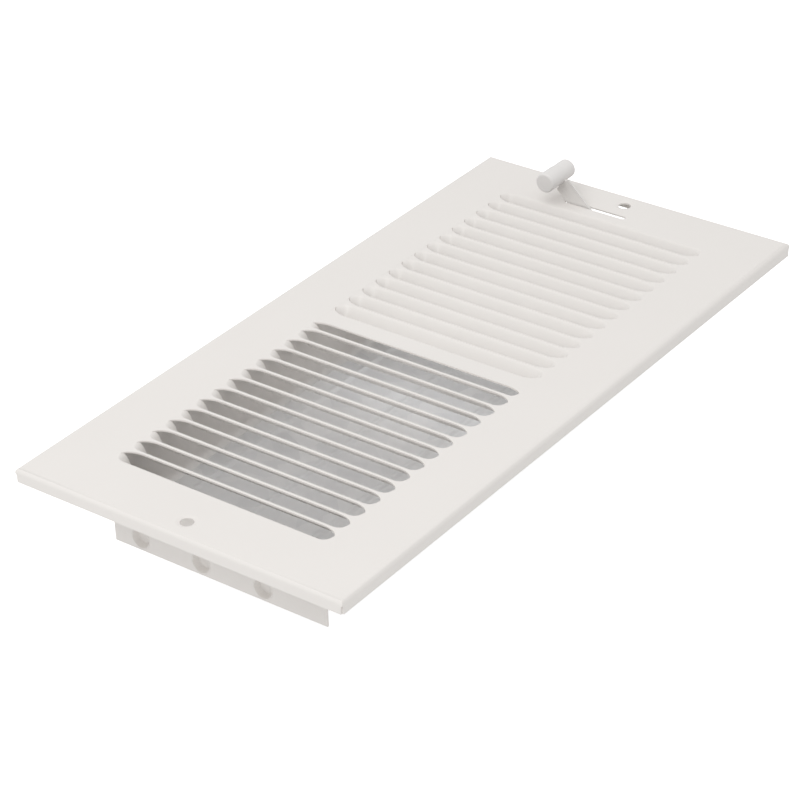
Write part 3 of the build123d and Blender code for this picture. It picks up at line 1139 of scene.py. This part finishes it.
@dataclass(kw_only=True)
class LeverWork(DamperSizes):
    """Lever, knob and rivets, and the link bar that joins the lever to the blades."""

    pivots: Sequence[float]
    lever_inner: float = 130.4
    lever_outer: float = 131.4
    lean: float = 45.0
    lever_half: float = 4.0
    lever_length: float = 26.8
    lever_corner: float = 0.5
    tang_half: float = 2.2
    tang_depth: float = 2.4
    knob_radius: float = 4.2
    knob_length: float = 17.6
    knob_shift: float = -0.5
    knob_round: float = 0.75
    knob_step: float = 0.22
    knob_land: float = 1.0
    knob_edge: float = 0.1
    knob_seat: float = 0.2
    recess_over: float = 1.0
    link_half: float = 3.6
    ear_foot: float = 6.0
    ear_round: float = 2.0
    running_gap: float = 0.08
    rivet_bearing: float = 2.2
    rivet_shoulder: float = 3.4
    rivet_head: float = 4.0
    rivet_height: float = 0.9
    rivet_round: float = 0.15
    back_top: float = 0.7
    front_start: float = 0.45
    edge: float = 0.1

    KNOB_STEPS = 8
    GRIP_STEPS = 64

    @property
    def middle(self) -> float:
        """X of the lever's middle surface."""
        return (self.lever_inner + self.lever_outer) / 2

    @property
    def arm(self) -> float:
        """Length of the lever's lower arm."""
        return self.crank / math.cos(math.radians(self.lean))

    def seat(self) -> Matrix:
        """Move from the upright lever to its place at rest."""
        turn = Matrix.Rotation(math.radians(-self.lean), 4, "X")
        return Matrix.Translation((0, self.lever_y, -self.lever_depth)) @ turn

    def tip(self) -> Flat:
        """Y and Z of the knob's axis."""
        lean = math.radians(self.lean)
        across = self.lever_y + self.lever_length * math.sin(lean)
        return (across, -self.lever_depth + self.lever_length * math.cos(lean))

    def build_lever(self) -> None:
        """Make the flat lever."""
        shoulder = self.lever_length - self.knob_radius - self.knob_seat
        half = [
            (self.lever_half, 0.0),
            (self.lever_half, shoulder),
            (self.tang_half, shoulder),
            (self.tang_half, self.lever_length + self.tang_depth),
        ]
        outline = softened([*half, *[(-y, z) for y, z in reversed(half)]], self.lever_corner)
        outline += arc((0.0, -self.arm), self.lever_half, 180.0, 360.0, PIN_STEPS)
        holes = [
            ring((0.0, 0.0), self.rivet_bearing + self.running_gap, HOLE_STEPS),
            ring((0.0, -self.arm), self.pin_radius, PIN_STEPS),
        ]
        surface = Surface()
        surface.region(outline, holes, lambda p: (self.middle, p[0], p[1]))
        fit = Fit(Body.LEVER, Slot.LEVER, "lever")
        gauge = self.lever_outer - self.lever_inner
        self.shop.pressed("lever_strip", surface, gauge, self.edge, fit, self.seat())

    def tang_recess(self) -> Surface:
        """Closed surface of the knob's recess for the lever's tang."""
        seat = self.seat()
        gap = self.running_gap / 2
        half = (self.lever_outer - self.lever_inner) / 2 + gap
        rows = []
        for z in (-self.knob_radius - self.recess_over, self.tang_depth + gap):
            corners = []
            for x, y in ((-1, -1), (1, -1), (1, 1), (-1, 1)):
                spot = Vector((self.middle + x * half, y * (self.tang_half + gap), self.lever_length + z))
                corners.append(tuple(seat @ spot))
            rows.append(corners)
        surface = Surface()
        surface.grid(rows, round_about=True)
        surface.face(rows[0])
        surface.face(rows[1])
        return surface

    def build_knob(self) -> None:
        """Make the round grip, with a recess for the tang."""
        near = self.middle + self.knob_shift - self.knob_length / 2
        far = near + self.knob_length
        bend = self.knob_round
        radius = self.knob_radius
        small = radius - self.knob_step
        step = self.middle - self.knob_step
        land = self.knob_land
        profile = [(near, 0.0), (near, radius - bend)]
        profile += arc((near + bend, radius - bend), bend, 180.0, 90.0, self.KNOB_STEPS)[1:]
        edge = [(step - land, radius), (step, radius), (step, small), (step + land, small)]
        profile += softened(edge, self.knob_edge)
        profile += arc((far - bend, small - bend), bend, 90.0, 0.0, self.KNOB_STEPS)
        profile += [(far, 0.0)]
        fit = Fit(Body.LEVER, Slot.VINYL, "lever_knob")
        self.shop.turned("grip_knob", profile, [self.tip()], fit, self.GRIP_STEPS, self.tang_recess())

    def build_rivets(self) -> None:
        """Make the rivet that carries the lever and the pin in its lower arm."""
        back = self.plate_inner - self.rivet_height
        front = self.lever_outer + self.side_play
        top = front + self.rivet_height
        parts = [
            (self.plate_inner, self.rivet_shoulder),
            (self.plate_outer, self.rivet_shank),
            (self.lever_inner - self.side_play, self.rivet_shoulder),
            (front, self.rivet_bearing),
            (front + self.rivet_height * self.front_start, self.rivet_head),
        ]
        profile = [(back, 0.0), (back, self.rivet_shoulder * self.back_top)]
        profile += stepped(back + self.rivet_height * self.dome_start, parts)
        profile += [(top, self.rivet_head * self.dome_top), (top, 0.0)]
        axis = (self.lever_y, -self.lever_depth)
        fit = Fit(Body.FRAME, Slot.RIVET, "lever_rivet")
        self.shop.turned("pivot_rivet", softened(profile, self.rivet_round), [axis], fit)
        head = self.link_inner - self.side_play - self.pin_height
        parts = [
            (self.link_inner - self.side_play, self.pin_head),
            (self.link_outer + self.side_play, self.pin_radius),
            (self.lever_inner, self.pin_shoulder),
            (self.lever_outer, self.pin_radius),
        ]
        profile = [(head, 0.0), (head, self.pin_head * self.dome_top)]
        profile += stepped(head + self.pin_height * self.dome_start, parts)
        profile += [(self.lever_outer, 0.0)]
        axis = (self.lever_y - self.crank, -self.lever_depth - self.crank)
        fit = Fit(Body.LEVER, Slot.RIVET, "lever_pin")
        self.shop.turned("lever_rivet_low", softened(profile, self.pin_round), [axis], fit)

    def build_link(self) -> None:
        """Make the link bar with its upright ear."""
        low = -self.blade_depth - self.crank
        high = -self.lever_depth - self.crank
        half = self.link_half
        foot = low + half
        ends = [y - self.crank for y in self.pivots]
        ear = self.lever_y - self.crank
        left = [(ear - half - self.ear_foot, foot), (ear - half, foot), (ear - half, high)]
        right = [(ear + half, high), (ear + half, foot), (ear + half + self.ear_foot, foot)]
        outline = arc((min(ends), low), half, 270.0, 90.0, HALF_STEPS)
        outline += softened(left, self.ear_round)
        outline += arc((ear, high), half, 180.0, 0.0, HALF_STEPS)[1:]
        outline += softened(right, self.ear_round)[1:]
        outline += arc((max(ends), low), half, 90.0, -90.0, HALF_STEPS)
        hole = self.pin_radius + self.running_gap
        holes = [ring(place, hole, PIN_STEPS) for place in [*[(y, low) for y in ends], (ear, high)]]
        middle = (self.link_inner + self.link_outer) / 2
        surface = Surface()
        surface.region(outline, holes, lambda p: (middle, p[0], p[1]))
        fit = Fit(Body.LINK, Slot.GALVANISED, "link_bar")
        self.shop.pressed("link_strip", surface, self.link_outer - self.link_inner, self.edge, fit)

    def build(self) -> None:
        """Make the lever, knob, rivets and link bar."""
        self.build_lever()
        self.build_knob()
        self.build_rivets()
        self.build_link()


@dataclass
class Studio:
    """Plain pale floor, soft light and the camera at the photograph's angle."""

    floor_level: float = -64.0
    floor_half: float = 6000.0
    floor_colour: Colour = (0.82, 0.82, 0.82, 1.0)
    floor_glow: float = 0.05
    floor_shine: float = 0.65
    floor_roughness: float = 0.9
    sky: float = 0.765
    key_power: float = 9.0
    key_place: Place = (-800.0, 50.0, 1400.0)
    key_size: float = 1400.0
    camera_place: Place = (-728.087, -535.803, 526.894)
    camera_turn: Place = (58.6985, 1.5296, -53.9199)
    lens: float = 124.403
    sensor: float = 36.0
    clip_start: float = 0.01
    clip_end: float = 50.0

    def build_floor(self) -> None:
        """Make the floor, which shows only from above so that the underside can be looked at."""
        reach = self.floor_half
        surface = Surface()
        steps = [-reach, -reach / 3, reach / 3, reach]
        surface.grid([[(x, y, self.floor_level) for x in steps] for y in steps])
        floor = add_object("floor", surface.mesh("floor"))
        if floor.data.polygons[0].normal.z < 0.0:
            floor.data.flip_normals()
        material, canvas, shader = new_material(
            "pale_floor",
            Base_Color=self.floor_colour,
            Roughness=self.floor_roughness,
            Specular_IOR_Level=0.0,
            Emission_Color=WHITE,
        )
        path = canvas.add("LightPath")
        glow = canvas.ramp(path.outputs["Is Camera Ray"], self.floor_glow, self.floor_shine)
        canvas.join(glow, shader.inputs["Emission Strength"])
        clear = canvas.add("BsdfTransparent")
        side = canvas.add("NewGeometry")
        blend = canvas.add("MixShader")
        canvas.join(side.outputs["Backfacing"], blend.inputs["Fac"])
        canvas.join(shader.outputs["BSDF"], blend.inputs[1])
        canvas.join(clear.outputs["BSDF"], blend.inputs[2])
        canvas.join(blend.outputs["Shader"], material.node_tree.nodes["Material Output"].inputs["Surface"])
        floor.data.materials.append(material)

    def build_light(self) -> None:
        """Make the soft sky and one large lamp overhead."""
        world = bpy.data.worlds.new("soft_sky")
        world.use_nodes = True
        back = world.node_tree.nodes["Background"]
        back.inputs["Color"].default_value = WHITE
        back.inputs["Strength"].default_value = self.sky
        bpy.context.scene.world = world
        lamp = bpy.data.lights.new("soft_key", "AREA")
        lamp.energy = self.key_power
        lamp.shape = "DISK"
        lamp.size = self.key_size * MM
        key = add_object("soft_key", lamp)
        key.location = Vector(self.key_place) * MM
        key.rotation_euler = (-key.location).to_track_quat("-Z", "Y").to_euler()

    def build_camera(self) -> None:
        """Make the camera."""
        lens = bpy.data.cameras.new("camera")
        lens.sensor_width = self.sensor
        lens.lens = self.lens
        lens.clip_start = self.clip_start
        lens.clip_end = self.clip_end
        camera = add_object("camera", lens)
        camera.location = (Vector(self.camera_place) + Vector((0, 0, FACE_LIFT))) * MM
        camera.rotation_euler = Euler([math.radians(a) for a in self.camera_turn], "XYZ")
        bpy.context.scene.camera = camera
        bpy.context.scene.view_settings.view_transform = "Standard"

    def build(self) -> None:
        """Make the floor, the light and the camera."""
        self.build_floor()
        self.build_light()
        self.build_camera()


def make_finishes() -> dict[Slot, bpy.types.Material]:
    """Make the material of each slot.

    Returns:
        One material for each slot.
    """
    skin = PaintSkin()
    marks = HandlingMarks()
    coats = {
        Slot.ENAMEL: CoatFinish(
            name="white_powder_coat",
            light=(0.815, 0.785, 0.755, 1.0),
            shade=(0.80, 0.77, 0.74, 1.0),
            gloss=(0.36, 0.46),
            peel_depth=0.012,
        ),
        Slot.LEVER: CoatFinish(
            name="lever_paint",
            light=(0.76, 0.74, 0.72, 1.0),
            shade=(0.73, 0.71, 0.69, 1.0),
            gloss=(0.32, 0.44),
            peel_scale=1400.0,
            peel_depth=0.008,
        ),
        Slot.VINYL: CoatFinish(
            name="soft_vinyl",
            light=(0.79, 0.77, 0.755, 1.0),
            shade=(0.76, 0.74, 0.725, 1.0),
            gloss=(0.42, 0.55),
            peel_scale=2200.0,
            peel_depth=0.01,
        ),
        Slot.RIVET: CoatFinish(
            name="zinc_plate",
            light=(0.74, 0.74, 0.73, 1.0),
            shade=(0.62, 0.62, 0.63, 1.0),
            gloss=(0.24, 0.40),
            drift_scale=220.0,
            patch_scale=260.0,
            metal=1.0,
        ),
    }
    finishes = {slot: coat.build(skin, marks) for slot, coat in coats.items()}
    finishes[Slot.GALVANISED] = GalvanisedFinish().build(marks)
    return finishes


def main() -> None:
    """Build every piece in order, then the studio."""
    logging.basicConfig(level=logging.INFO, format="%(name)s: %(message)s")
    shop = Workshop(make_finishes())
    low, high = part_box("face_plate")
    FaceSheet(shop=shop, length=(high.x - low.x) / MM, width=(high.y - low.y) / MM).build()
    pivots = {Body.BLADE_LEFT: 36.0, Body.BLADE_MIDDLE: 8.0, Body.BLADE_RIGHT: -20.0}
    DamperFrame(shop=shop, pivots=list(pivots.values())).build()
    for body, pivot in pivots.items():
        name = body.value.removeprefix("blade_")
        DamperBlade(shop=shop, name=name, body=body, pivot=pivot).build()
    LeverWork(shop=shop, pivots=list(pivots.values())).build()
    Studio().build()


if __name__ == "__main__":
    main()
